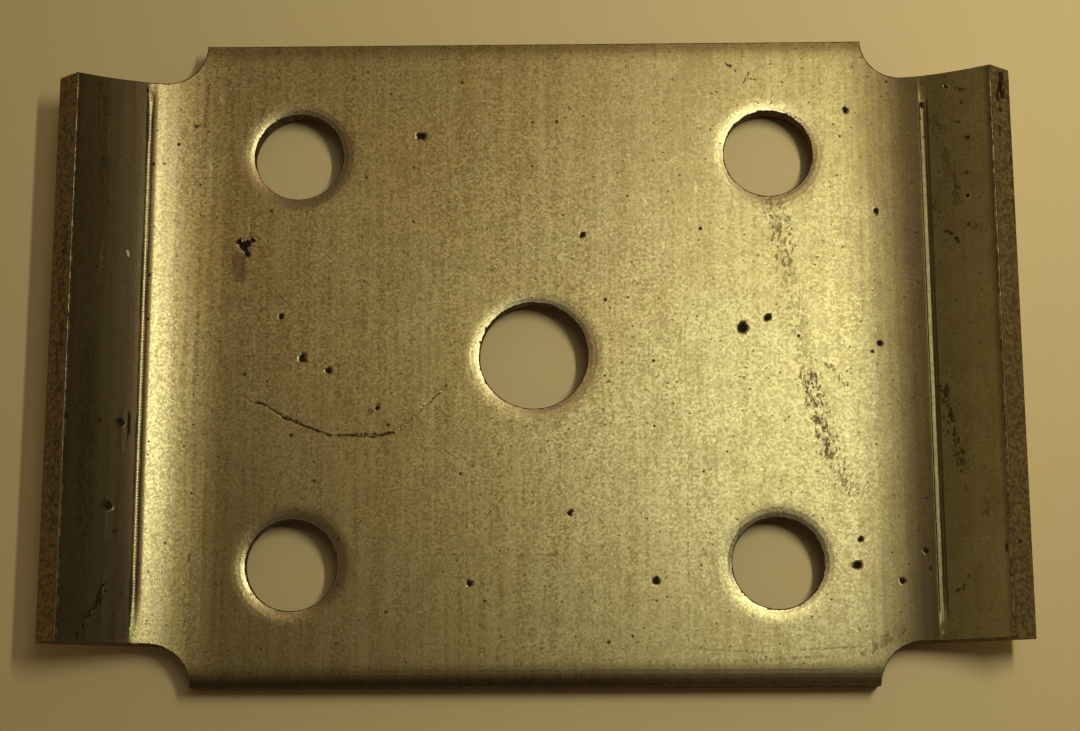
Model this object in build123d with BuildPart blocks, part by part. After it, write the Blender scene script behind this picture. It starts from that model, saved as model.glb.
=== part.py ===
"""Spring tie plate: a thick steel blank, punched, notched and bent up at both ends.

The plate is clamped against a leaf spring.  Four U-bolt legs pass through the corner
holes, and the head of the spring's centre bolt drops into the middle hole.  The two
short ends are bent up in a shallow curve, which stiffens the plate beside the legs.

Units are millimetres.  +X runs along the plate, +Y across it, +Z up through the sheet.
The origin is on the underside, on the axis of the middle hole.
"""
from build123d import *
from math import cos, radians, sin
import os

os.makedirs("parts", exist_ok=True)

# Sheet
thickness = 5.0

# Holes
u_bolt_spacing_x = 76.2
u_bolt_spacing_y = 66.7
u_bolt_hole_diameter = 14.4
centre_hole_diameter = 17.3

# Metal left around the U-bolt holes
edge_margin = 11.8  # from a hole to the long edge beside it
bend_margin = 3.7  # from a hole to the place where the upper face starts to rise

# Quarter-round notch that frees each end of a flange
notch_radius = 6.7
notch_past_bend = 11.2  # how far its centre lies beyond the start of the bend

# Bend, as slopes and radii of the upper face, from the flat out to the tip
inner_bend_radius = 57.0
crease_slope_in = 14.0  # degrees, where the first curve reaches the crease
crease_slope_out = 19.0  # degrees, where the flange leaves the crease
outer_bend_radius = 38.6
flange_slope = 32.0  # degrees, at the tip
lip_length = 3.0  # straight run from the outer curve to the tip
shear_breakout = 1.6  # how much further the lower face runs than the upper one

# Crease, coined into the upper face by the nose of the bending punch
crease_width = 1.3
crease_depth = 0.28
crease_end_gap = 1.2  # plain metal between the crease and each end of the flange
crease_taper = 9.0  # length over which each end of the crease fades out

# Rolled lip that shearing and punching leave on the side the tool enters
hole_roll_width = 2.4
hole_roll_depth = 0.3
edge_roll_width = 2.6
front_roll_depth = 0.6  # long edge at -Y, sheared with a worn blade
rear_roll_depth = 0.22  # long edge at +Y

# Torn lower part of each punched hole, where the slug broke away
hole_land = 1.7  # straight wall under the rolled lip
hole_breakout = 0.55  # how much wider the hole is at the lower face, on the radius

# Worn corners of the flange tips
tip_upper_radius = 0.25
tip_lower_radius = 0.6

# Worked out from the sizes above
plate_width = u_bolt_spacing_y + u_bolt_hole_diameter + 2 * edge_margin
flat_half = (u_bolt_spacing_x + u_bolt_hole_diameter) / 2 + bend_margin
notch_centre_x = flat_half + notch_past_bend
flange_half_width = plate_width / 2 - notch_radius
crease_x = flat_half + inner_bend_radius * sin(radians(crease_slope_in))
crease_z = thickness + inner_bend_radius * (1 - cos(radians(crease_slope_in)))


def heading(slope):
    """Unit direction that climbs outwards at this slope, in degrees."""
    return (cos(radians(slope)), sin(radians(slope)))


def arc_radius(width, depth):
    """Radius of an arc that leaves a face level and drops `depth` over `width`."""
    return (width**2 + depth**2) / (2 * depth)


nose_radius = arc_radius(crease_width / 2, crease_depth)


def punch_tool(hole_diameter):
    """What one punch takes away: a rolled lip, a straight land and a torn cone below."""
    hole_radius = hole_diameter / 2
    mouth = (hole_radius + hole_roll_width, thickness)
    throat = (hole_radius, thickness - hole_roll_depth)
    tear = (hole_radius, thickness - hole_roll_depth - hole_land)
    foot = (hole_radius + hole_breakout, 0)
    with BuildPart() as tool:
        with BuildSketch(Plane.XZ):
            with BuildLine():
                Polyline(throat, tear, foot, (0, 0), (0, thickness), mouth)
                RadiusArc(mouth, throat, -arc_radius(hole_roll_width, hole_roll_depth))
            make_face()
        revolve(axis=Axis.Z)
    return tool.part


def edge_roll_tool(roll_depth):
    """What shearing takes off the long edge at +Y: one section carried up the inner bend."""
    side = plate_width / 2
    above = thickness + 1
    with BuildPart() as tool:
        with BuildLine(Plane.XZ):
            level = Line((0, thickness), (flat_half, thickness))
            JernArc(level @ 1, level % 1, inner_bend_radius, crease_slope_in)
        with BuildSketch(Plane.YZ):
            with BuildLine():
                roll_start = (side - edge_roll_width, thickness)
                roll_end = (side, thickness - roll_depth)
                RadiusArc(roll_start, roll_end, arc_radius(edge_roll_width, roll_depth))
                Polyline(roll_end, (side + 1, roll_end[1]), (side + 1, above),
                         (roll_start[0], above), roll_start)
            make_face()
        sweep()
        mirror(about=Plane.YZ)
    return tool.part


def crease_tool():
    """The punch nose that coins a crease: a bar along Y whose ends taper to a fade."""
    half_length = flange_half_width - crease_end_gap
    with BuildPart() as tool:
        with BuildSketch(Plane.YZ):
            with BuildLine():
                Polyline(
                    (half_length, 0),
                    (half_length, nose_radius - crease_depth),
                    (half_length - crease_taper, nose_radius),
                    (0, nose_radius),
                    (0, 0),
                    close=True,
                )
            make_face()
            mirror(about=Plane.YZ)
        revolve(axis=Axis.Y)
    return tool.part


u_bolt_punch = punch_tool(u_bolt_hole_diameter)
centre_punch = punch_tool(centre_hole_diameter)
crease_nose = crease_tool()
rear_roll = edge_roll_tool(rear_roll_depth)
front_roll = mirror(edge_roll_tool(front_roll_depth), about=Plane.XZ)

with BuildPart() as tie_plate:
    # The bent strip, from half of its side view.  The lower face follows the upper one
    # at the sheet's thickness, and turns about the crease where the upper face kinks.
    with BuildSketch(Plane.XZ):
        with BuildLine():
            flat = Line((0, thickness), (flat_half, thickness))
            rise = JernArc(flat @ 1, flat % 1, inner_bend_radius, crease_slope_in)
            curl_turn = flange_slope - crease_slope_out
            curl = JernArc(rise @ 1, heading(crease_slope_out), outer_bend_radius, curl_turn)
            lip = PolarLine(curl @ 1, lip_length, flange_slope)

            under = Line((0, 0), (flat_half, 0))
            under_rise = JernArc(
                under @ 1, under % 1, inner_bend_radius + thickness, crease_slope_in
            )
            kink_turn = crease_slope_out - crease_slope_in
            under_kink = JernArc(under_rise @ 1, under_rise % 1, thickness, kink_turn)
            under_curl = JernArc(
                under_kink @ 1, under_kink % 1, outer_bend_radius + thickness, curl_turn
            )
            under_lip = PolarLine(under_curl @ 1, lip_length + shear_breakout, flange_slope)

            Line(lip @ 1, under_lip @ 1)
            Line(flat @ 0, under @ 0)
        make_face()
        mirror(about=Plane.YZ)
    extrude(amount=plate_width / 2, both=True)

    # Flange tips: nearly crisp along the top, softer along the lower corner.
    long_edges = tie_plate.edges().filter_by(Axis.Y)
    fillet(long_edges.group_by(Axis.Z)[-1], tip_upper_radius)
    outer_edges = tie_plate.edges().filter_by(Axis.Y).group_by(Axis.X)
    fillet(outer_edges[0] + outer_edges[-1], tip_lower_radius)

    # Shear roll along both long edges.
    add(rear_roll, mode=Mode.SUBTRACT)
    add(front_roll, mode=Mode.SUBTRACT)

    # Corner notches: a round at the shoulder, then straight out past the flange's tip.
    with BuildSketch(Plane.XY):
        with Locations((notch_centre_x, plate_width / 2)):
            Circle(notch_radius)
            Rectangle(plate_width, 2 * notch_radius, align=(Align.MIN, Align.CENTER))
        mirror(about=Plane.XZ)
        mirror(about=Plane.YZ)
    extrude(amount=plate_width, both=True, mode=Mode.SUBTRACT)

    # Creases, each sunk to its depth where the upper face kinks.
    crease_axis_z = crease_z + nose_radius - crease_depth
    with Locations((-crease_x, 0, crease_axis_z), (crease_x, 0, crease_axis_z)):
        add(crease_nose, mode=Mode.SUBTRACT)

    # Punched holes, each with a rolled lip on top.
    with GridLocations(u_bolt_spacing_x, u_bolt_spacing_y, 2, 2):
        add(u_bolt_punch, mode=Mode.SUBTRACT)
    add(centre_punch, mode=Mode.SUBTRACT)

tie_plate.part.label = "tie_plate"
export_step(tie_plate.part, "parts/tie_plate.step")
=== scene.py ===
# %% [markdown]
# # A spring tie plate, stamped from one sheet of steel
# The real part is a flat plate of 5 mm steel with five punched holes, notched
# corners, and both ends bent up into shallow flanges. Its shape is finished in
# the CAD model, so this lesson gives it what a press shop and a storage bin
# give it: pits, scratches, a coined line along each bend and a rolled grain.

# %% Open the CAD frame
import math

import bmesh
import bpy
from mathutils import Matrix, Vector, kdtree, noise


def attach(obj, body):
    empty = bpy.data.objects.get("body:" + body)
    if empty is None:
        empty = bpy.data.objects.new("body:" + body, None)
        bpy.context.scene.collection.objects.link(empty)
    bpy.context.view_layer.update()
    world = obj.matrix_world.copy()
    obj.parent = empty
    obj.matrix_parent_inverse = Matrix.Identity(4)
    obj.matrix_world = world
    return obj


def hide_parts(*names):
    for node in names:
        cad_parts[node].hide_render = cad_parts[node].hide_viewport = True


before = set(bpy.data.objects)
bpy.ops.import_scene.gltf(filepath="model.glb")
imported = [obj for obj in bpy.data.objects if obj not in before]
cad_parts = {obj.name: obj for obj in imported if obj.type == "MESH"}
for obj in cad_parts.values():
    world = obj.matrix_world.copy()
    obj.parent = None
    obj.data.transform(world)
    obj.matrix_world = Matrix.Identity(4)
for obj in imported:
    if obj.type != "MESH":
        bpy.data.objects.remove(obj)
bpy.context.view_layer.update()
MM = 0.001
print("CAD nodes:", sorted(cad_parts))

# %% [markdown]
# ## The camera
# A flat part is best seen from nearly straight above, a little from the front,
# which shows the plate's outline, both bends and a sliver of the front edge.
# The lens is short enough for the raised flanges to spread outwards a little.

# %% Place the camera
lens_mm, sensor_mm = 72.28, 36.0
camera_place = (0.006364, -0.072953, 0.34286)
camera_tilt_degrees = (11.91, 0.95, -0.17)

camera_data = bpy.data.cameras.new("overhead_camera")
camera_data.sensor_width = sensor_mm
camera_data.lens = lens_mm
camera = bpy.data.objects.new("overhead_camera", camera_data)
camera.location = camera_place
camera.rotation_euler = [math.radians(turn) for turn in camera_tilt_degrees]
bpy.context.scene.collection.objects.link(camera)
bpy.context.scene.camera = camera
bpy.context.scene.view_settings.view_transform = "Standard"
print("lens", lens_mm, "mm, height", camera.location.z, "m")

# %% [markdown]
# ## The table and the light
# Bare metal shows its surroundings more than its own colour, so the lamps are
# part of the finish. A narrow window lamp up on the right lights the table and
# throws the shadows to the left, but the metal doesn't mirror it. A greenish
# white panel hangs further up, and the right half of the plate mirrors it. A
# wide brown glow behind it tints the left half. The rest of the room is dim,
# so the bent flanges, which look sideways, stay dark.

# %% Lay the table
def new_object(name, mesh_or_light):
    """An object for this data, at the origin of the scene."""
    made = bpy.data.objects.new(name, mesh_or_light)
    bpy.context.scene.collection.objects.link(made)
    return made


def mesh_from(bm, name):
    """Turns a finished bmesh into a mesh, and frees the bmesh."""
    mesh = bpy.data.meshes.new(name)
    bm.to_mesh(mesh)
    bm.free()
    return mesh


table_half_width = 1.5
table_gap = 0.02 * MM  # keeps the table just clear of the plate's underside
table_bm = bmesh.new()
bmesh.ops.create_grid(table_bm, x_segments=1, y_segments=1, size=table_half_width)
bmesh.ops.translate(table_bm, verts=table_bm.verts, vec=(0, 0, -table_gap))
table = new_object("table_top", mesh_from(table_bm, "table_top"))

paper = bpy.data.materials.new("pale_table")
paper.use_nodes = True
paper_shader = paper.node_tree.nodes["Principled BSDF"]
paper_shader.inputs["Base Color"].default_value = (0.66, 0.56, 0.345, 1)
paper_shader.inputs["Roughness"].default_value = 0.8
paper_shader.inputs["Specular IOR Level"].default_value = 0.2
table.data.materials.append(paper)
print("table half-width", table_half_width, "m")

# %% Hang the lamps
def soft_lamp(name, place, aim, width, depth, power, colour):
    """A rectangular lamp at a place, turned towards the point it is aimed at."""
    data = bpy.data.lights.new(name, "AREA")
    data.shape = "RECTANGLE"
    data.size = width
    data.size_y = depth
    data.energy = power
    data.color = colour
    lamp = new_object(name, data)
    lamp.location = place
    lamp.rotation_euler = (Vector(aim) - Vector(place)).to_track_quat("-Z", "Y").to_euler()
    return lamp


warm_white, panel_white, room_brown = (1.0, 0.90, 0.60), (0.93, 1.0, 0.72), (1.0, 0.675, 0.37)
plate_middle = (0, 0, 0)
window_lean, window_spread = 0.18, math.radians(90)  # leaning to the left, and fading off-centre

window_lamp = soft_lamp("window_lamp", place=(0.155, 0.075, 0.36), aim=(0.09, 0.075, 0),
                        width=0.018, depth=0.15, power=0.21, colour=warm_white)
window_lamp.rotation_euler = (0, window_lean, 0)
window_lamp.data.spread = window_spread
window_lamp.visible_glossy = False
soft_lamp("overhead_panel", place=(0.18, 0.18, 0.80), aim=(0.03, 0, 0),
          width=0.20, depth=0.29, power=0.415, colour=panel_white)
soft_lamp("ceiling_glow", place=(0.19, 0.338, 0.82), aim=plate_middle,
          width=0.41, depth=0.66, power=0.40, colour=room_brown)
soft_lamp("side_glow", place=(-0.164, 0.27, 0.80), aim=plate_middle,
          width=0.06, depth=0.12, power=0.024, colour=room_brown)

# %% Dim the room
room = bpy.data.worlds.new("dim_room")
bpy.context.scene.world = room
room.use_nodes = True
sky = room.node_tree
towards = sky.nodes.new("ShaderNodeTexCoord")
up = sky.nodes.new("ShaderNodeSeparateXYZ")
sky.links.new(towards.outputs["Generated"], up.inputs["Vector"])


def fade(tree, value, low, high, to_low, to_high):
    """Light that changes smoothly between two directions."""
    made = tree.nodes.new("ShaderNodeMapRange")
    made.interpolation_type = "SMOOTHSTEP"
    tree.links.new(value, made.inputs["Value"])
    for number, level in zip(made.inputs[1:5], (low, high, to_low, to_high)):
        number.default_value = level
    return made.outputs["Result"]


wall_light, overhead_light, back_light, left_light = 0.55, 0.05, 0.20, 0.12
room_light = fade(sky, up.outputs["Z"], 0.05, 0.34, wall_light, overhead_light)
back_wall = fade(sky, up.outputs["Y"], 0.35, 0.95, 0.0, back_light)
left_wall = fade(sky, up.outputs["X"], -0.95, -0.30, left_light, 0.0)
for more in (back_wall, left_wall):
    total = sky.nodes.new("ShaderNodeMath")
    sky.links.new(room_light, total.inputs[0])
    sky.links.new(more, total.inputs[1])
    room_light = total.outputs["Value"]
sky.nodes["Background"].inputs["Color"].default_value = room_brown + (1.0,)
sky.links.new(room_light, sky.nodes["Background"].inputs["Strength"])
print("room light from", overhead_light, "overhead to", wall_light, "at the walls")

# %% [markdown]
# ## A mesh that can carry small marks
# The CAD surface is drawn with as few triangles as its shape needs, and none
# of them is small enough to hold a pit. A copy of it is merged and its flat
# triangles are joined into large faces. Straight cuts through the whole sheet
# then make an even grid, and finer cuts are made only where a mark will be.

# %% Copy the CAD sheet and cut it into a grid
on_plane = 1e-7  # metres: nearer than this counts as on the cutting plane


def crosses(face, axis, at):
    """Whether the plane at this place goes through the face."""
    low = high = face.verts[0].co[axis]
    for v in face.verts:
        value = v.co[axis]
        if value < low:
            low = value
        elif value > high:
            high = value
    return low < at - on_plane and high > at + on_plane


def cut(bm, faces, axis, places):
    """Cuts these faces with planes across one axis (0 is X, 1 is Y), at each place in mm."""
    normal = Vector((0, 0, 0))
    normal[axis] = 1
    geom = set(faces)
    for place in places:
        at = place * MM
        point = normal * at
        crossed = [f for f in geom if f.is_valid and crosses(f, axis, at)]
        parts = set(crossed)
        for f in crossed:
            parts.update(f.edges)
            parts.update(f.verts)
        made = bmesh.ops.bisect_plane(
            bm, geom=list(parts), dist=on_plane, plane_co=point, plane_no=normal)
        geom.update(g for g in made["geom"] if isinstance(g, bmesh.types.BMFace))
    return [f for f in geom if f.is_valid]


def steps(start, stop, step):
    """Even places from start to stop."""
    count = max(1, round((stop - start) / step))
    return [start + (stop - start) * i / count for i in range(count + 1)]


same_place = 1e-6  # metres
still_flat = math.radians(0.3)
sheet = bmesh.new()
sheet.from_mesh(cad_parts["tie_plate"].data)
bmesh.ops.remove_doubles(sheet, verts=sheet.verts, dist=same_place)
bmesh.ops.dissolve_limit(sheet, angle_limit=still_flat, verts=sheet.verts, edges=sheet.edges)
print("joined into", len(sheet.faces), "faces")

grid_step, grid_half_x, grid_half_y = 2.0, 76, 51
cut(sheet, sheet.faces, 0, steps(-grid_half_x, grid_half_x, grid_step))
cut(sheet, sheet.faces, 1, steps(-grid_half_y, grid_half_y, grid_step))
print("grid of", len(sheet.faces), "faces")

# %% [markdown]
# ## Where the marks are
# Each mark is placed in millimetres from the middle of the plate:
# a pit by its place, radius and depth, and a scratch by the points it runs
# through. The surface around each is cut finer before anything is pressed in.

# %% List the pits and scratches
pits = [
    # X, Y, radius and depth
    (-18.3, 36.6, 0.75, 0.35), (8.0, 19.8, 0.6, 0.25), (33.4, 4.3, 1.0, 0.40),
    (37.3, 5.9, 0.7, 0.25), (-40.4, 6.6, 0.55, 0.30), (-36.9, -0.3, 0.8, 0.30),
    (-32.8, -2.3, 0.65, 0.35), (5.6, -25.3, 0.5, 0.25), (18.8, -36.1, 0.7, 0.20),
    (-10.1, -36.4, 0.6, 0.25), (55.2, 23.3, 0.5, 0.25), (55.1, 1.5, 0.5, 0.25),
    (50.8, 40.6, 0.6, 0.25), (51.0, -29.8, 0.55, 0.25), (50.4, -33.9, 0.75, 0.35),
    (57.2, -36.3, 0.55, 0.25), (60.9, -31.8, 0.5, 0.25),
    (-65.1, -11.0, 0.65, 0.35), (-66.6, -24.4, 0.8, 0.30), (66.8, 43.2, 0.5, 0.25),
    (69.2, 24.6, 0.45, 0.2), (63.0, 40.8, 0.5, 0.2), (74.4, -30.8, 0.6, 0.25),
    # a cluster that has run together into one dark blot
    (-47.6, 19.0, 0.8, 0.16), (-46.8, 18.4, 1.05, 0.20), (-46.1, 18.9, 0.7, 0.15),
    (-46.3, 16.9, 0.62, 0.12), (-45.4, 19.3, 0.5, 0.12),
    # and a faint one above the long scratch
    (-24.9, -8.4, 0.5, 0.10),
]
scratches = [
    # points, half-width and depth
    ([(-45.4, -7.2), (-43.3, -7.6), (-39.9, -9.9), (-35.5, -11.6), (-32.3, -12.9),
      (-29.6, -12.7), (-25.4, -13.2), (-22.6, -12.5)], 0.20, 0.10),
    ([(-21.4, -12.2), (-18.3, -9.0), (-13.8, -4.7)], 0.12, 0.04),
    ([(-46.9, 19.6), (-45.8, 20.3), (-44.6, 19.7), (-43.6, 18.7), (-44.3, 17.9), (-45.5, 18.3)],
     0.13, 0.06),
    ([(-46.2, 19.0), (-44.9, 19.2), (-43.2, 18.3)], 0.10, 0.05),
    ([(-66.8, -36.9), (-67.6, -39.8), (-69.2, -42.0), (-70.4, -44.5)], 0.3, 0.03),
]
print(len(pits), "pits and", len(scratches), "scratches")

# %% Cut the surface finer around them
def upper_faces(bm, x0, x1, y0, y1):
    """The faces on the upper side that start inside this box, in mm."""
    found = []
    x0, x1, y0, y1 = x0 * MM, x1 * MM, y0 * MM, y1 * MM
    for f in bm.faces:
        if f.normal.z > 0.3:
            corner = f.verts[0].co
            if x0 < corner.x < x1 and y0 < corner.y < y1:
                found.append(f)
    return found


def refine(bm, x0, x1, y0, y1, step_x, step_y):
    """Cuts the upper side finer inside a box."""
    faces = upper_faces(bm, x0 - 2, x1 + 2, y0 - 2, y1 + 2)
    faces = cut(bm, faces, 0, steps(x0, x1, step_x))
    cut(bm, faces, 1, steps(y0, y1, step_y))


def along(points, spacing):
    """Evenly spaced points on the straight runs between these points."""
    placed = []
    for (ax, ay), (bx, by) in zip(points, points[1:]):
        length = math.hypot(bx - ax, by - ay)
        for i in range(max(1, round(length / spacing))):
            t = i * spacing / length
            placed.append((ax + (bx - ax) * t, ay + (by - ay) * t))
    return placed + [points[-1]]


sheet.normal_update()
for x, y, radius, _ in pits:
    reach, step = radius * 1.7, radius / 3.5
    refine(sheet, x - reach, x + reach, y - reach, y + reach, step, step)
scratch_reach, scratch_step = 1.1, 0.2
for points, _, _ in scratches:
    for x, y in along(points, 2.0):
        refine(sheet, x - scratch_reach, x + scratch_reach, y - scratch_reach, y + scratch_reach,
               scratch_step, scratch_step)
# X, Y, radius, and how deep the worn lip is
holes = [(-38.1, 33.35, 7.2, 0.24), (-38.1, -33.35, 7.2, 0.24), (0.0, 0.0, 8.65, 0.17),
         (38.1, 33.35, 7.2, 0.18), (38.1, -33.35, 7.2, 0.20)]
roll_width, roll_depth, lip_step = 2.4, 0.3, 0.45
for x, y, radius, _ in holes:
    reach = radius + roll_width
    refine(sheet, x - reach, x + reach, y - reach, y + reach, lip_step, lip_step)
plate_front = upper_faces(sheet, -60, 60, -52.2, -44)
cut(sheet, plate_front, 1, steps(-51.8, -46, 0.4))
flange_half = 45.6  # half the length of a bend, along Y
line_end = 45.5  # and half the length of the line along it
line_from, line_to, line_step = 61.4, 64.0, 0.13  # across each bend, from the middle outwards
for side in (-1, 1):
    across_bend = sorted((side * 61, side * 65))
    bend = upper_faces(sheet, *across_bend, -flange_half, flange_half)
    cut(sheet, bend, 0, steps(side * line_from, side * line_to, line_step))
print("refined to", len(sheet.faces), "faces")

# %% [markdown]
# ## Pressing the marks in
# Every mark is a small move of the fine vertices. A pit is a round dent with a
# ragged rim, a scratch is a groove along its line, and the noise that breaks
# them up is fixed by place, so each run makes the same plate. Four numbers are
# kept on each vertex for the finish: how much dirt it holds, how bright the
# coined line is painted as a highlight, how much brown film and painted shade
# darken it, and how smooth it is worn and how bright it is painted as sheen.

# %% Line up the vertices for a quick search
sheet.verts.ensure_lookup_table()
sheet.normal_update()
dirt = sheet.verts.layers.float.new("dirt")
line_highlight = sheet.verts.layers.float.new("line_highlight")
film_and_shade = sheet.verts.layers.float.new("film_and_shade")
polish_and_sheen = sheet.verts.layers.float.new("polish_and_sheen")
upper = [v for v in sheet.verts if v.normal.z > 0.4]
near = kdtree.KDTree(len(upper))
for i, v in enumerate(upper):
    near.insert((v.co.x / MM, v.co.y / MM, 0), i)
near.balance()
lowered = {}
print(len(upper), "vertices on the upper side")


def ragged(x, y, size):
    """Smooth noise from -1 to 1 whose lumps are about this size in mm."""
    return noise.noise(Vector((x / size, y / size, 3.7)))


# %% Soften the rolled lip of each hole and the front edge
near_top = 4.2 * MM  # above this lie only the upper face and its rolled edges
for x, y, radius, lip_depth in holes:
    for v in sheet.verts:
        away = math.hypot(v.co.x / MM - x, v.co.y / MM - y)
        if v.co.z > near_top and away < radius + roll_width:
            fall = (1 - max(0, away - radius) / roll_width) ** 2
            v.co.z += (roll_depth - lip_depth) * fall * MM
            # painted sheen: the lip is painted bright all round the hole, and is also worn
            # smoother
            v[polish_and_sheen] = fall
front_edge, edge_width, edge_depth, soft_width, plate_half = 52.35, 2.6, 0.6, 4.2, 60
wide_drop, sharp_drop = 0.20, 0.40  # mm: a wide shallow fall, and a steeper one right at the edge
for v in sheet.verts:
    inwards = front_edge + v.co.y / MM
    if v.co.z > near_top and inwards < soft_width and abs(v.co.x) < plate_half * MM:
        before = edge_depth * max(0, 1 - inwards / edge_width) ** 2
        t = 1 - inwards / soft_width
        v.co.z += (before - wide_drop * t ** 2 - sharp_drop * t ** 4) * MM
print("softened", len(holes), "hole lips and the front edge")

# %% Press in the pits
for x, y, radius, depth in pits:
    for (vx, vy, _), i, distance in near.find_range((x, y, 0), radius * 1.8):
        lumps, crumbs = ragged(vx, vy, radius * 0.8), ragged(vy, vx, radius * 0.3)
        rim = radius * (0.85 + 0.6 * lumps + 0.25 * crumbs)
        fall = 1 - min(1, distance / rim) ** 2
        lowered[i] = max(lowered.get(i, 0), depth * fall)
        upper[i][dirt] = max(upper[i][dirt], min(1, fall * 1.8))
print("pits pressed,", len(lowered), "vertices moved")

# %% Draw the scratches
for points, half_width, depth in scratches:
    for x, y in along(points, 0.2):
        wander = 0.25 * ragged(x, y, 2.3)
        here = half_width * (0.75 + 0.5 * ragged(x + 9, y, 1.4))
        for (vx, vy, _), i, distance in near.find_range((x, y + wander, 0), here):
            fall = 1 - (distance / here) ** 2
            lowered[i] = max(lowered.get(i, 0), depth * fall)
            held = 0.75 + 0.9 * ragged(vx + 31, vy, 0.7)
            upper[i][dirt] = max(upper[i][dirt], min(1, fall * held))
print("scratches drawn,", len(lowered), "vertices moved")

# %% [markdown]
# ## The line along each bend
# The nose of the bending punch leaves a narrow coined line where the flange
# turns up. It has a flat floor between a short outer wall and a longer inner
# one, and both walls are darkened with painted shade. The two are not quite
# alike: on the left its floor leans inwards and is painted bright with beads as
# a highlight, and on the right it is level, dulled with painted shade, and ends
# in a long point. The height of the bare sheet is worked out first, and the line
# is cut below it.

# %% Work out the height of the bare sheet
sheet_top, level_half, inner_radius = 5.0, 49.0, 57.0
kink_x, kink_slope, outer_radius = 62.79, math.radians(19), 38.6
kink_z = sheet_top + inner_radius - math.sqrt(inner_radius ** 2 - (kink_x - level_half) ** 2)


def sheet_height(x):
    """Height of the bare upper surface, in mm, at this distance from the middle."""
    if x < level_half:
        return sheet_top
    if x < kink_x:
        return sheet_top + inner_radius - math.sqrt(inner_radius ** 2 - (x - level_half) ** 2)
    centre_x = kink_x - outer_radius * math.sin(kink_slope)
    centre_z = kink_z + outer_radius * math.cos(kink_slope)
    return centre_z - math.sqrt(outer_radius ** 2 - (x - centre_x) ** 2)


def smooth_step(value, low, high):
    """0 below low, 1 above high and smooth between."""
    t = min(1.0, max(0.0, (value - low) / (high - low)))
    return t * t * (3 - 2 * t)


print("the bend line is", round(kink_z - sheet_top, 2), "mm above the flat")

# %% Cut the coined lines
# side, distance of its middle, slope of its floor, depth, how bright its painted highlight is,
# fade at front and back
coined_lines = [(-1, 62.40, 11.0, 0.20, 1.0, (-45.5, -36.0), (44.4, 44.8)),
                (1, 62.98, 1.0, 0.20, 0.0, (-44.6, -40.0), (40.0, 44.0))]
# distance of each corner of the line from its middle, from the inner wall to the outer one
line_shape = {-1: (-0.85, -0.15, 0.24, 0.36), 1: (-0.55, -0.30, 0.26, 0.62)}
wander, floor_shade = 0.06, 0.8  # how far the line strays in mm, and how much painted shade dulls the right floor
coined = 0
for side, middle, slope, depth, shine, front, back in coined_lines:
    inner_edge, floor_start, floor_end, outer_edge = line_shape[side]
    for v in upper:
        x, y = v.co.x / MM, v.co.y / MM
        if not (line_from < side * x < line_to and abs(y) < line_end):
            continue
        ends = smooth_step(y, *front) * (1 - smooth_step(y, *back))
        across = side * x - middle + wander * ragged(y, side, 3.0)
        bare = sheet_height(side * x)
        floor = sheet_height(middle) - depth + math.tan(math.radians(slope)) * across
        floor = min(floor, bare)
        wall_in = smooth_step(across, inner_edge, floor_start)
        wall_out = 1 - smooth_step(across, floor_end, outer_edge)
        v.co.z = (bare + (floor - bare) * wall_in * wall_out * ends) * MM
        floor_in = smooth_step(across, floor_start - 0.04, floor_start + 0.06)
        floor_out = 1 - smooth_step(across, floor_end - 0.1, floor_end)
        # painted highlight on the floor of the line
        v[line_highlight] = shine * floor_in * floor_out * ends
        # painted shade on both walls, and over the whole floor on the right
        inner_shade = smooth_step(across, inner_edge - 0.06, inner_edge + 0.08) * (1 - floor_in)
        outer_shade = smooth_step(across, floor_end, floor_end + 0.1) * wall_out
        v[film_and_shade] = max(inner_shade, outer_shade) * ends
        if side > 0:
            v[film_and_shade] = max(v[film_and_shade], floor_shade * wall_in * ends)
        coined += 1
print("coined lines moved", coined, "vertices")

# %% Sink the pits and scratches
for i, drop in lowered.items():
    upper[i].co.z -= drop * MM
print("deepest mark", round(max(lowered.values()), 2), "mm")

# %% [markdown]
# ## Film, painted shade and painted highlight
# A brown film and painted shade darken the flanges, the left far more than the
# right. Painted shade darkens the metal just inside the right bend and along the
# rolled front edge, most at the left, and the tips are darkened too. The left
# bend is painted bright as a highlight. These follow the bends, so they are kept
# on the vertices, and the materials read them from there.

# %% Paint the film, shade and highlight on the sheet
for v in upper:
    x = v.co.x / MM
    # painted shade just inside the right bend, where the metal mirrors a dark part of the room
    right_bend_shade = 0.55 * smooth_step(x, 56.5, 61.0) * (1 - smooth_step(x, 62.45, 62.6))
    # painted shade along the rolled front edge, darkest at the left
    front_shade = 0.0
    if abs(x) < plate_half:
        from_front = front_edge + v.co.y / MM
        strongest = 0.75 - 0.45 * smooth_step(x, 0, 45)
        front_shade = strongest * (1 - smooth_step(from_front, 0.4, 2.4))
    # the flanges are darkened, the left far more than the right: partly brown film, partly
    # painted shade
    if x < 0:
        flange_film_and_shade = (0.95 - 0.25 * smooth_step(-x, 64, 69)) * smooth_step(-x, 62.6, 62.8)
    else:
        flange_film_and_shade = 0.2 * smooth_step(x, 62.9, 63.6)
    # the metal just inside each tip is darkened
    tip_darkening = 0.85 * smooth_step(abs(x), 72.5, 72.8)
    v[film_and_shade] = max(v[film_and_shade], right_bend_shade, front_shade, flange_film_and_shade, tip_darkening)
    # painted highlight: the left bend is painted bright where it mirrors the overhead panel
    left_bend_highlight = smooth_step(-x, 56.5, 58.5) * (1 - smooth_step(-x, 61.5, 61.9))
    v[polish_and_sheen] = max(v[polish_and_sheen], 0.4 * left_bend_highlight)
# counts the vertices that film and painted shade darken past half
print("tarnished vertices", sum(v[film_and_shade] > 0.5 for v in upper))

# %% [markdown]
# ## The finished piece
# The bmesh becomes the visible sheet and stands for the CAD node. Faces that
# meet at a shallow angle shade as one surface, and a sheared corner stays crisp.

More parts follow.
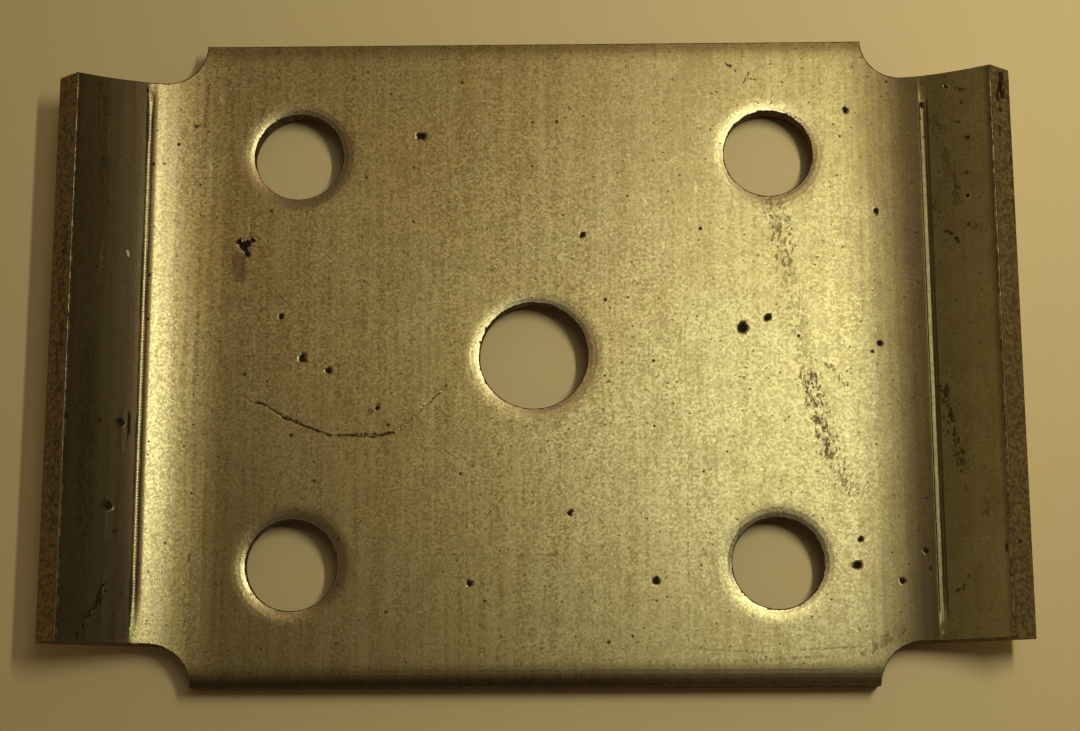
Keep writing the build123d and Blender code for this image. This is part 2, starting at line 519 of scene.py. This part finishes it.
# %% Make the sheet
plate_slot, flange_slot, sheared_slot, end_slot = range(4)
bend_line = 62.2 * MM
facing_out, upright = 0.6, 0.35  # limits on a face's normal, along X and along Z
smooth_below = math.radians(32)

tie_plate = new_object("tie_plate_sheet", mesh_from(sheet, "tie_plate_sheet"))
tie_plate.data.materials.clear()
for polygon in tie_plate.data.polygons:
    polygon.use_smooth = True
    outwards = polygon.normal.x * math.copysign(1, polygon.center.x)
    if outwards > facing_out and polygon.normal.z > 0:
        polygon.material_index = end_slot
    elif abs(polygon.normal.z) < upright:
        polygon.material_index = sheared_slot
    elif abs(polygon.center.x) > bend_line:
        polygon.material_index = flange_slot
    else:
        polygon.material_index = plate_slot
tie_plate.data.set_sharp_from_angle(angle=smooth_below)
keep_flats = tie_plate.modifiers.new("flat_faces_lead", "WEIGHTED_NORMAL")
keep_flats.keep_sharp = True
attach(tie_plate, "root")
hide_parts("tie_plate")
print(len(tie_plate.data.polygons), "faces")

# %% [markdown]
# ## The steel
# Rolled steel is not one colour. Up close it is a fine pepper of bright metal
# and brown oxide, with faint streaks along the rolling direction, and over it
# lie cloudy patches, long rubbed lines and scuffs. The grain, the drawn line
# and the distance from an edge are node groups that give masks, so every
# material of the sheet can use them with its own values.

# %% Helpers for shader nodes
def new_group(name, inputs, outputs):
    """A shader node group that puts out values. An input without a default is a place."""
    group = bpy.data.node_groups.new(name, "ShaderNodeTree")
    for socket, default in inputs:
        kind = "NodeSocketVector" if default is None else "NodeSocketFloat"
        made = group.interface.new_socket(socket, in_out="INPUT", socket_type=kind)
        if default is not None:
            made.default_value = default
    for socket in outputs:
        group.interface.new_socket(socket, in_out="OUTPUT", socket_type="NodeSocketFloat")
    return group, group.nodes.new("NodeGroupInput"), group.nodes.new("NodeGroupOutput")


def node(tree, kind, **settings):
    """Adds a node and sets its properties."""
    made = tree.nodes.new(kind)
    for name, value in settings.items():
        setattr(made, name, value)
    return made


def feed(tree, socket, value):
    """Links an output to an input socket, or writes a plain value on it."""
    if isinstance(value, bpy.types.NodeSocket):
        tree.links.new(value, socket)
    else:
        socket.default_value = value


def stretched_noise(tree, vector, stretch, per_metre, detail=2.0, rough=0.5):
    """Noise in Object coordinates, squeezed by a different amount along each axis."""
    place = node(tree, "ShaderNodeMapping")
    feed(tree, place.inputs["Vector"], vector)
    place.inputs["Scale"].default_value = stretch
    made = node(tree, "ShaderNodeTexNoise")
    feed(tree, made.inputs["Vector"], place.outputs["Vector"])
    made.inputs["Scale"].default_value = per_metre
    made.inputs["Detail"].default_value = detail
    made.inputs["Roughness"].default_value = rough
    return made.outputs["Fac"]


def between(tree, value, low, high, to_low=0.0, to_high=1.0):
    """Rescales a value smoothly from one range to another, and stops at its ends."""
    made = node(tree, "ShaderNodeMapRange", interpolation_type="SMOOTHSTEP")
    feed(tree, made.inputs["Value"], value)
    feed(tree, made.inputs["From Min"], low)
    feed(tree, made.inputs["From Max"], high)
    feed(tree, made.inputs["To Min"], to_low)
    feed(tree, made.inputs["To Max"], to_high)
    return made.outputs["Result"]


def calculate(tree, operation, first, second=0.0):
    """One Math node."""
    made = node(tree, "ShaderNodeMath", operation=operation)
    feed(tree, made.inputs[0], first)
    feed(tree, made.inputs[1], second)
    return made.outputs[0]


def vector_math(tree, operation, first, second=None):
    """One Vector Math node, and its vector and value outputs."""
    made = node(tree, "ShaderNodeVectorMath", operation=operation)
    feed(tree, made.inputs[0], first)
    if second is not None:
        feed(tree, made.inputs[1], second)
    return made.outputs[0], made.outputs[1]


def blend_colours(tree, share, first, second):
    """One Mix node for colours: its inputs 6 and 7 and its output 2 are the coloured ones."""
    made = node(tree, "ShaderNodeMix", data_type="RGBA")
    feed(tree, made.inputs["Factor"], share)
    feed(tree, made.inputs[6], first)
    feed(tree, made.inputs[7], second)
    return made.outputs[2]


def group_node(tree, group, **values):
    """Places a node group in a material and sets its inputs."""
    made = node(tree, "ShaderNodeGroup", node_tree=group)
    for name, value in values.items():
        feed(tree, made.inputs[name.replace("_", " ")], value)
    return made


def new_material(name):
    """A material, its node tree, its shader and the Object coordinates in it."""
    made = bpy.data.materials.new(name)
    made.use_nodes = True
    tree = made.node_tree
    where = node(tree, "ShaderNodeTexCoord").outputs["Object"]
    return made, tree, tree.nodes["Principled BSDF"], where


to_mm = (1000, 1000, 0)  # from metres in space to millimetres on the plane of the sheet
print("shader helpers ready")

# %% The rolled grain
grain, g_in, g_out = new_group(
    "rolled_grain", [("Place", None)],
    ["Pepper", "Glint", "Speck", "Streak", "Blotch", "Cloud", "Height"])
place = g_in.outputs["Place"]


def grains(per_metre):
    """A random number for each small crystal of the surface."""
    cells = node(grain, "ShaderNodeTexVoronoi")
    feed(grain, cells.inputs["Vector"], place)
    feed(grain, cells.inputs["Scale"], per_metre)
    split = node(grain, "ShaderNodeSeparateColor")
    feed(grain, split.inputs["Color"], cells.outputs["Color"])
    return split.outputs["Red"]


fine_per_metre, coarse_per_metre, soft_per_metre = 3300, 1700, 2600
fine_grain, coarse_grain = grains(fine_per_metre), grains(coarse_per_metre)
soft = stretched_noise(grain, place, (1, 0.7, 1), soft_per_metre, 2.0, 0.7)
pepper = calculate(grain, "MULTIPLY", fine_grain, 0.60)
for part, share in ((coarse_grain, 0.12), (between(grain, soft, 0.3, 0.7), 0.28)):
    pepper = calculate(grain, "ADD", pepper, calculate(grain, "MULTIPLY", part, share))
pepper = between(grain, pepper, 0.15, 0.85)
glint = between(grain, fine_grain, 0.985, 0.995)

drawn_out = stretched_noise(grain, place, (1, 0.035, 1), 1300, 2.0, 0.6)
patches = stretched_noise(grain, place, (1, 0.7, 1), 330, 3.0, 0.6)
wide_patches = stretched_noise(grain, place, (1, 0.8, 1), 55, 3.0, 0.55)
streak = between(grain, drawn_out, 0.35, 0.68)
blotch = between(grain, patches, 0.40, 0.68)
cloud = between(grain, wide_patches, 0.35, 0.65)

# a few round specks of scale: most cells of the pattern hold none, and few hold a large one
dots_per_metre, rareness, largest = 260, 9.0, 0.09
dots = node(grain, "ShaderNodeTexVoronoi", voronoi_dimensions="2D")
feed(grain, dots.inputs["Vector"], place)
dots.inputs["Scale"].default_value = dots_per_metre
dot_size = node(grain, "ShaderNodeSeparateColor")
feed(grain, dot_size.inputs["Color"], dots.outputs["Color"])
rare = calculate(grain, "POWER", dot_size.outputs["Red"], rareness)
past_edge = calculate(grain, "SUBTRACT", dots.outputs["Distance"],
                      calculate(grain, "MULTIPLY", rare, largest))
dot = between(grain, past_edge, -0.02, 0.02, 1.0, 0.0)
speck = calculate(grain, "MAXIMUM", dot, between(grain, fine_grain, 0.003, 0.010, 0.7, 0.0))
height = calculate(grain, "ADD", calculate(grain, "MULTIPLY", streak, 0.25),
                   calculate(grain, "MULTIPLY", soft, 2.0))
for name, value in (("Pepper", pepper), ("Glint", glint), ("Speck", speck), ("Streak", streak),
                    ("Blotch", blotch), ("Cloud", cloud), ("Height", height)):
    feed(grain, g_out.inputs[name], value)
print("group", grain.name)

# %% A mark drawn as a line
line_mark, g_in, g_out = new_group(
    "line_mark", [("Place", None), ("From X", 0.0), ("From Y", 0.0), ("To X", 1.0), ("To Y", 0.0),
                  ("Half Width", 0.2), ("Ragged", 0.5), ("Wear", 0.0)], ["Mask"])


def flat_point(tree, x, y):
    """A point on the plane from two values."""
    made = node(tree, "ShaderNodeCombineXYZ")
    feed(tree, made.inputs["X"], x)
    feed(tree, made.inputs["Y"], y)
    return made.outputs["Vector"]


flat, _ = vector_math(line_mark, "MULTIPLY", g_in.outputs["Place"], to_mm)
start = flat_point(line_mark, g_in.outputs["From X"], g_in.outputs["From Y"])
stop = flat_point(line_mark, g_in.outputs["To X"], g_in.outputs["To Y"])
run, _ = vector_math(line_mark, "SUBTRACT", stop, start)
reach, _ = vector_math(line_mark, "SUBTRACT", flat, start)
_, along_run = vector_math(line_mark, "DOT_PRODUCT", reach, run)
_, run_squared = vector_math(line_mark, "DOT_PRODUCT", run, run)
share = calculate(line_mark, "DIVIDE", along_run, run_squared)
share.node.use_clamp = True
foot = node(line_mark, "ShaderNodeVectorMath", operation="SCALE")
feed(line_mark, foot.inputs[0], run)
feed(line_mark, foot.inputs["Scale"], share)
across, _ = vector_math(line_mark, "SUBTRACT", reach, foot.outputs["Vector"])
_, distance = vector_math(line_mark, "LENGTH", across)
nearness = calculate(line_mark, "DIVIDE", distance, g_in.outputs["Half Width"])
nearness = between(line_mark, nearness, 0.3, 1.0, 1.0, 0.0)
# where the wear noise is strong the line is gone, which breaks it into crisp flecks
wear_reach = 2.0
loss = calculate(line_mark, "MULTIPLY", g_in.outputs["Wear"], g_in.outputs["Ragged"])
loss = calculate(line_mark, "MULTIPLY", loss, wear_reach)
left_over = calculate(line_mark, "SUBTRACT", nearness, loss)
feed(line_mark, g_out.inputs["Mask"], between(line_mark, left_over, 0.0, 0.25))
print("group", line_mark.name)

# %% How far a point is from the nearest sheared edge
edge_reach, g_in, g_out = new_group("edge_reach", [("Place", None)], ["Distance"])
in_mm, _ = vector_math(edge_reach, "MULTIPLY", g_in.outputs["Place"], to_mm)
quarter, _ = vector_math(edge_reach, "ABSOLUTE", in_mm)  # all four quarters are alike
parts = node(edge_reach, "ShaderNodeSeparateXYZ")
feed(edge_reach, parts.inputs["Vector"], quarter)


def reach_to_circle(x, y, radius):
    """Distance from a round edge, in mm."""
    _, from_middle = vector_math(edge_reach, "DISTANCE", quarter, (x, y, 0))
    return calculate(edge_reach, "SUBTRACT", from_middle, radius)


notch_x, notch_radius = 60.2, 6.7
to_side = calculate(edge_reach, "SUBTRACT", front_edge, parts.outputs["Y"])
past_notch = calculate(edge_reach, "GREATER_THAN", parts.outputs["X"], notch_x)
reach = calculate(edge_reach, "SUBTRACT", to_side,
                  calculate(edge_reach, "MULTIPLY", past_notch, notch_radius))
for x, y, radius in ((0.0, 0.0, 8.65), (38.1, 33.35, 7.2), (notch_x, front_edge, notch_radius)):
    reach = calculate(edge_reach, "MINIMUM", reach, reach_to_circle(x, y, radius))
feed(edge_reach, g_out.inputs["Distance"], reach)
print("group", edge_reach.name)

# %% Where the lines run
# from X, from Y, to X, to Y, half width, how ragged, how strong
bright_lines = [
    (1.3, 49.6, 1.3, 41.0, 0.24, 0.9, 0.5), (-7.9, 34.3, -7.9, 27.5, 0.2, 0.9, 0.5),
    (-14.0, 21.7, -13.9, 10.8, 0.25, 1.0, 0.45), (-46.1, 23.1, -46.0, 20.7, 0.22, 0.8, 0.9),
    (-46.4, 15.2, -46.1, 9.7, 0.2, 0.9, 0.9), (-44.8, 4.1, -44.7, 0.8, 0.3, 0.8, 0.8),
    (-45.4, 3.0, -45.2, -7.0, 0.16, 1.0, 0.6), (-69.7, 42.5, -69.5, 36.7, 0.22, 1.0, 0.4),
    (-68.5, 39.0, -68.4, 33.0, 0.2, 1.0, 0.4), (-69.5, 23.8, -69.5, 20.6, 0.2, 0.9, 0.4),
    (-68.3, 23.4, -68.3, 19.5, 0.17, 0.9, 0.4), (-68.7, 17.9, -69.1, 11.0, 0.3, 1.0, 0.4),
    # the two long lines along X -73 and 73 are painted glints on the upper edges of the flange
    # tips
    (-73.1, 44.9, -72.9, -45.3, 0.24, 1.0, 0.5), (73.1, 44.9, 72.9, -45.3, 0.24, 1.0, 0.6),
    (17.5, 26.7, 18.3, 25.0, 0.4, 0.7, 0.9), (26.2, 28.6, 26.3, 27.0, 0.35, 0.7, 0.9),
    (32.3, 26.0, 32.5, 24.5, 0.3, 0.8, 0.7), (25.0, 22.9, 25.2, 21.9, 0.3, 0.7, 0.6),
    (21.0, 18.6, 20.9, 17.4, 0.3, 0.7, 0.7), (25.4, 18.3, 25.3, 17.2, 0.3, 0.7, 0.7),
    (18.2, 13.4, 18.3, 12.2, 0.3, 0.7, 0.6), (9.8, -24.0, 9.5, -45.6, 0.3, 1.0, 0.35),
    (23.8, -22.0, 23.7, -30.0, 0.3, 1.0, 0.3), (-51.3, 43.6, -51.0, 43.0, 0.35, 0.4, 0.9),
    (-52.6, 32.0, -52.4, 31.4, 0.35, 0.4, 0.9), (-65.1, 17.0, -64.9, 16.2, 0.3, 0.4, 0.9),
]
dark_lines = [
    (-45.6, -7.0, -43.3, -7.5, 0.28, 0.9, 0.6), (-43.3, -7.5, -39.5, -9.7, 0.3, 0.8, 0.7),
    (-39.5, -9.7, -32.3, -12.9, 0.4, 0.8, 0.8), (-32.3, -12.9, -22.0, -12.4, 0.45, 0.9, 0.8),
    (-22.0, -11.9, -18.1, -9.1, 0.6, 0.9, 0.5), (-18.1, -9.1, -13.8, -4.7, 0.5, 0.9, 0.45),
    (-26.5, -9.3, -24.5, -7.9, 0.7, 0.9, 0.6), (31.6, 49.0, 32.9, 47.6, 0.55, 0.9, 0.8),
    (34.4, 45.4, 35.2, 47.0, 0.3, 0.8, 0.6), (34.9, 46.1, 37.0, 45.8, 0.2, 0.8, 0.6),
    (39.0, 25.4, 40.4, 15.4, 2.8, 1.0, 0.5), (40.4, 15.4, 43.8, -4.3, 2.4, 1.0, 0.4),
    (43.8, -4.3, 46.6, -15.6, 2.6, 0.9, 0.6), (46.6, -15.6, 49.6, -21.9, 2.2, 1.0, 0.5),
    (24.0, -46.6, 36.0, -47.3, 0.30, 0.8, 0.35), (31.0, -48.6, 47.0, -47.8, 0.40, 0.8, 0.40),
    (41.0, -46.9, 54.5, -46.2, 0.30, 0.8, 0.40), (51.1, -46.9, 57.4, -43.9, 1.6, 1.0, 0.45),
    (-9.3, -27.9, -3.8, -21.6, 0.25, 0.9, 0.5), (-16.3, -31.8, 29.0, -32.1, 0.25, 1.0, 0.25),
    (24.1, -23.4, 23.9, -45.3, 0.3, 1.0, 0.3), (9.3, -23.3, 9.0, -45.2, 0.25, 1.0, 0.3),
    (-53.7, 38.9, -53.1, 45.8, 0.25, 1.0, 0.6), (-55.1, 38.6, -53.7, 38.9, 0.4, 0.6, 0.8),
    (-49.9, -36.4, -48.7, -36.0, 0.3, 0.8, 0.7), (-46.7, -40.6, -46.2, -39.6, 0.25, 0.8, 0.7),
    (-54.3, -32.8, -53.9, -31.6, 0.3, 0.8, 0.6), (-60.0, 3.0, -60.2, 0.0, 0.3, 0.9, 0.4),
    (-47.6, 16.2, -47.2, 13.4, 1.5, 0.15, 0.45), (46.4, -1.4, 49.6, -5.0, 0.8, 1.0, 0.5),
    (65.0, 38.0, 67.6, 24.0, 1.4, 1.0, 0.5), (64.4, -6.0, 66.6, -19.0, 1.3, 0.9, 0.9),
    (69.1, 34.5, 69.8, 34.1, 0.55, 0.6, 0.9), (67.9, 37.2, 68.3, 37.0, 0.4, 0.5, 0.9),
    (68.9, 40.4, 68.9, 40.1, 0.35, 0.4, 0.8), (68.1, 42.9, 69.2, 42.1, 0.5, 0.7, 0.8),
    (67.5, 26.5, 67.8, 26.1, 0.4, 0.4, 0.8), (64.9, 24.9, 64.4, 23.5, 0.9, 0.9, 0.7),
    (65.9, 19.2, 66.6, 18.8, 0.5, 0.5, 0.9), (67.3, 17.9, 67.7, 17.2, 0.4, 0.5, 0.9),
    (69.4, 19.9, 71.4, 18.5, 0.7, 1.0, 0.5), (69.7, -24.6, 69.7, -26.4, 0.9, 0.9, 0.4),
    (72.3, -30.8, 72.4, -32.4, 0.35, 0.6, 0.9), (65.2, -38.1, 66.0, -37.8, 0.4, 0.6, 0.9),
    (66.0, -37.8, 67.1, -35.7, 0.3, 0.9, 0.8),
    (-72.8, -10.2, -72.8, -10.8, 0.5, 0.4, 0.9), (-68.1, -10.6, -68.2, -11.1, 0.4, 0.4, 0.8),
    (-69.6, 44.0, -68.8, 20.0, 1.6, 1.0, 0.4), (-70.3, 2.0, -69.8, -30.0, 1.8, 1.0, 0.4),
    (-66.4, -36.4, -67.4, -39.4, 0.8, 0.7, 1.0), (-67.4, -39.4, -69.2, -42.0, 0.6, 0.7, 1.0),
    (-69.2, -42.0, -70.2, -44.8, 0.5, 0.8, 1.0),
]


def drawn_lines(tree, place, lines):
    """The strongest of these line marks at each point."""
    wear = between(tree, stretched_noise(tree, place, (1, 0.5, 1), 1400, 4.0, 0.8), 0.34, 0.66)
    strongest = 0.0
    for x0, y0, x1, y1, half_width, ragged_share, strength in lines:
        mark = group_node(tree, line_mark, Place=place, From_X=x0, From_Y=y0, To_X=x1, To_Y=y1,
                          Half_Width=half_width, Ragged=ragged_share, Wear=wear)
        mask = calculate(tree, "MULTIPLY", mark.outputs["Mask"], strength)
        strongest = calculate(tree, "MAXIMUM", mask, strongest)
    return strongest


print(len(bright_lines), "bright lines and", len(dark_lines), "dark ones")

# %% Mix the steel
oxide_brown, blotch_brown = (0.36, 0.275, 0.122, 1), (0.40, 0.31, 0.15, 1)
streak_gold, glint_cream = (0.80, 0.73, 0.44, 1), (0.95, 0.88, 0.58, 1)
film_and_shade_brown, highlight_and_scuff_bright = (0.13, 0.095, 0.06, 1), (0.90, 0.82, 0.56, 1)
stain_brown, dirt_and_shade_black = (0.07, 0.049, 0.022, 1), (0.014, 0.009, 0.006, 1)
blotch_strength, streak_strength, glint_strength, speck_strength = 0.35, 0.32, 0.45, 0.8
lit_side_from, lit_side_to = -0.005, 0.035  # metres: painted light, the oxide is paler over the right half, which mirrors the bright panel
lip_shine, chatter_scale = 0.8, 650  # how bright the painted sheen on a worn lip is, and how fine the beads are
steel_relief = 0.00001  # metres


def rolled_steel(name, green, bright_marks, dark_marks):
    """Rolled steel with its grain, these drawn marks and what is kept on the vertices.

    Green is how much greener its clean metal is than the plate's.
    """
    made, tree, shader, where = new_material(name)
    rolled = group_node(tree, grain, Place=where).outputs
    line_highlight, film_and_shade, dirt, polish_and_sheen = [
        node(tree, "ShaderNodeAttribute", attribute_name=kept).outputs["Fac"]
        for kept in ("line_highlight", "film_and_shade", "dirt", "polish_and_sheen")]

    # clean metal and oxide, and what lies on them everywhere
    clean = blend_colours(tree, rolled["Cloud"],
                          (0.70, 0.61 * green, 0.30, 1), (0.74, 0.68 * green, 0.39, 1))
    sides = node(tree, "ShaderNodeSeparateXYZ")
    feed(tree, sides.inputs["Vector"], where)
    # painted light: the oxide colour grows paler towards the right half
    lit_side = between(tree, sides.outputs["X"], lit_side_from, lit_side_to)
    oxide = blend_colours(tree, lit_side, oxide_brown, (0.52, 0.45 * green, 0.24, 1))
    colour = blend_colours(tree, rolled["Pepper"], oxide, clean)
    for mask, strength, over in (("Blotch", blotch_strength, blotch_brown),
                                 ("Streak", streak_strength, streak_gold),
                                 ("Glint", glint_strength, glint_cream)):
        share = calculate(tree, "MULTIPLY", rolled[mask], strength)
        colour = blend_colours(tree, share, colour, over)
    # brown film and painted shade, as kept on the vertices
    filmed_and_shaded = blend_colours(tree, film_and_shade, colour, film_and_shade_brown)

    # the beads that the punch leaves along a bend, painted as a highlight on the coined line, the
    # painted sheen of the worn lips and the left bend, and the bright lines, which are scuffs and
    # painted glints
    chatter = node(tree, "ShaderNodeTexWave", wave_type="BANDS", bands_direction="Y")
    feed(tree, chatter.inputs["Vector"], where)
    feed(tree, chatter.inputs["Scale"], chatter_scale)
    feed(tree, chatter.inputs["Distortion"], 3.0)
    feed(tree, chatter.inputs["Detail"], 1.0)
    beads = between(tree, chatter.outputs["Fac"], 0.2, 0.8)
    highlight_and_scuff = calculate(tree, "MULTIPLY", line_highlight, between(tree, beads, 0.0, 1.0, 0.25, 1.0))
    highlight_and_scuff = calculate(tree, "MAXIMUM", highlight_and_scuff, calculate(tree, "MULTIPLY", polish_and_sheen, lip_shine))
    highlight_and_scuff = calculate(tree, "MAXIMUM", highlight_and_scuff, drawn_lines(tree, where, bright_marks))
    bright = blend_colours(tree, highlight_and_scuff, filmed_and_shaded, highlight_and_scuff_bright)

    # scuffs and specks
    stain = calculate(tree, "MAXIMUM", drawn_lines(tree, where, dark_marks),
                      calculate(tree, "MULTIPLY", rolled["Speck"], speck_strength))
    stained = blend_colours(tree, stain, bright, stain_brown)

    # dirt in the pits, and a dark line along every sheared edge, which is painted shade
    crumbled = stretched_noise(tree, where, (1, 1, 1), 2600, 3.0, 0.8)
    dirt_and_edge_shade = between(tree, calculate(tree, "ADD", dirt, crumbled), 0.78, 1.02)
    dirt_and_edge_shade = calculate(tree, "MULTIPLY", dirt_and_edge_shade, between(tree, dirt, 0.02, 0.10))
    near_edge = group_node(tree, edge_reach, Place=where).outputs["Distance"]
    uneven = stretched_noise(tree, where, (1, 1, 1), 900, 3.0, 0.7)
    rim_width = between(tree, uneven, 0.3, 0.7, 0.02, 0.14)
    past_rim = calculate(tree, "SUBTRACT", near_edge, rim_width)
    dirt_and_edge_shade = calculate(tree, "MAXIMUM", dirt_and_edge_shade, between(tree, past_rim, 0.0, 0.10, 1.0, 0.0))
    feed(tree, shader.inputs["Base Color"], blend_colours(tree, dirt_and_edge_shade, stained, dirt_and_shade_black))
    feed(tree, shader.inputs["Metallic"], calculate(tree, "SUBTRACT", 1.0, dirt_and_edge_shade))

    # bright grains are smoother, worn lips smoother still, and dirt and the painted edge shade
    # are dull
    rough = between(tree, rolled["Pepper"], 0.0, 1.0, 0.33, 0.28)
    rough = calculate(tree, "SUBTRACT", rough, calculate(tree, "MULTIPLY", polish_and_sheen, 0.10))
    covered = calculate(tree, "MULTIPLY", calculate(tree, "MAXIMUM", stain, dirt_and_edge_shade), 0.75)
    feed(tree, shader.inputs["Roughness"], calculate(tree, "MAXIMUM", rough, covered))
    bead_height = calculate(tree, "MULTIPLY", beads, calculate(tree, "MULTIPLY", line_highlight, 3.0))
    bump = node(tree, "ShaderNodeBump")
    feed(tree, bump.inputs["Distance"], steel_relief)
    feed(tree, bump.inputs["Strength"], 0.5)
    feed(tree, bump.inputs["Height"], calculate(tree, "ADD", rolled["Height"], bead_height))
    feed(tree, shader.inputs["Normal"], bump.outputs["Normal"])
    return made


def on_flange(mark):
    """True for a mark that starts outside the bend lines."""
    return abs(mark[0]) > 62


plate_marks = [[m for m in marks if not on_flange(m)] for marks in (bright_lines, dark_lines)]
flange_marks = [[m for m in marks if on_flange(m)] for marks in (bright_lines, dark_lines)]
flange_green = 1.18
tie_plate.data.materials.append(rolled_steel("rolled_steel", 1.0, *plate_marks))
tie_plate.data.materials.append(rolled_steel("flange_steel", flange_green, *flange_marks))
print("marks on the plate", [len(m) for m in plate_marks])
print("marks on the flanges", [len(m) for m in flange_marks])

# %% [markdown]
# ## The sheared faces
# A shear tears the lower part of the metal, and leaves fine lines through the
# thickness of the sheet. Torn metal is rough, and it is dull with oil and rust,
# so it is only partly metallic here. The hole walls and the long edges look
# straight sideways and are given a darker copy of it as painted shade. The ends
# of the flanges catch more light and are given a paler copy as painted light.

# %% Mix the sheared metal
grime_black, torn_tint = (0.02, 0.014, 0.008, 1), (0.35, 0.26, 0.15, 1)
torn_relief = 0.00004  # metres


def sheared_metal(name, dark, pale, least_rough, metal, marks):
    """Torn metal with fine lines through the thickness of the sheet, and dark marks."""
    made, tree, shader, where = new_material(name)
    drawn = between(tree, stretched_noise(tree, where, (1, 1, 0.08), 1500, 2.0, 0.6), 0.35, 0.65)
    torn = blend_colours(tree, drawn, dark, pale)
    if marks:
        torn = blend_colours(tree, drawn_lines(tree, where, marks), torn, grime_black)
    feed(tree, shader.inputs["Base Color"], torn)
    feed(tree, shader.inputs["Metallic"], metal)
    feed(tree, shader.inputs["Specular IOR Level"], 0.15)
    feed(tree, shader.inputs["Specular Tint"], torn_tint)
    feed(tree, shader.inputs["Roughness"], between(tree, drawn, 0.0, 1.0, 0.6, least_rough))
    bump = node(tree, "ShaderNodeBump")
    feed(tree, bump.inputs["Distance"], torn_relief)
    feed(tree, bump.inputs["Strength"], 0.6)
    feed(tree, bump.inputs["Height"], drawn)
    feed(tree, shader.inputs["Normal"], bump.outputs["Normal"])
    return made


end_marks = [
    (75.2, 44.5, 75.3, 41.0, 0.9, 0.6, 1.0), (74.4, 42.0, 74.4, 40.0, 0.5, 0.6, 0.9),
    (74.8, 38.9, 74.8, 38.4, 0.5, 0.5, 0.9), (74.5, 35.6, 74.5, 34.2, 0.4, 0.5, 0.8),
    (76.5, 44.0, 76.6, 20.0, 0.5, 1.0, 0.6), (-74.5, 20.0, -74.4, -30.0, 1.2, 1.0, 0.5),
]
# painted shade: a darker copy for the hole walls and the long edges
tie_plate.data.materials.append(sheared_metal(
    "sheared_edge", dark=(0.07, 0.05, 0.026, 1), pale=(0.14, 0.10, 0.05, 1),
    least_rough=0.5, metal=0.3, marks=[]))
# painted light: a paler copy for the ends of the flanges, where more light falls
tie_plate.data.materials.append(sheared_metal(
    "flange_end", dark=(0.11, 0.085, 0.04, 1), pale=(0.20, 0.155, 0.075, 1),
    least_rough=0.45, metal=0.5, marks=end_marks))
print("materials", [m.name for m in tie_plate.data.materials])
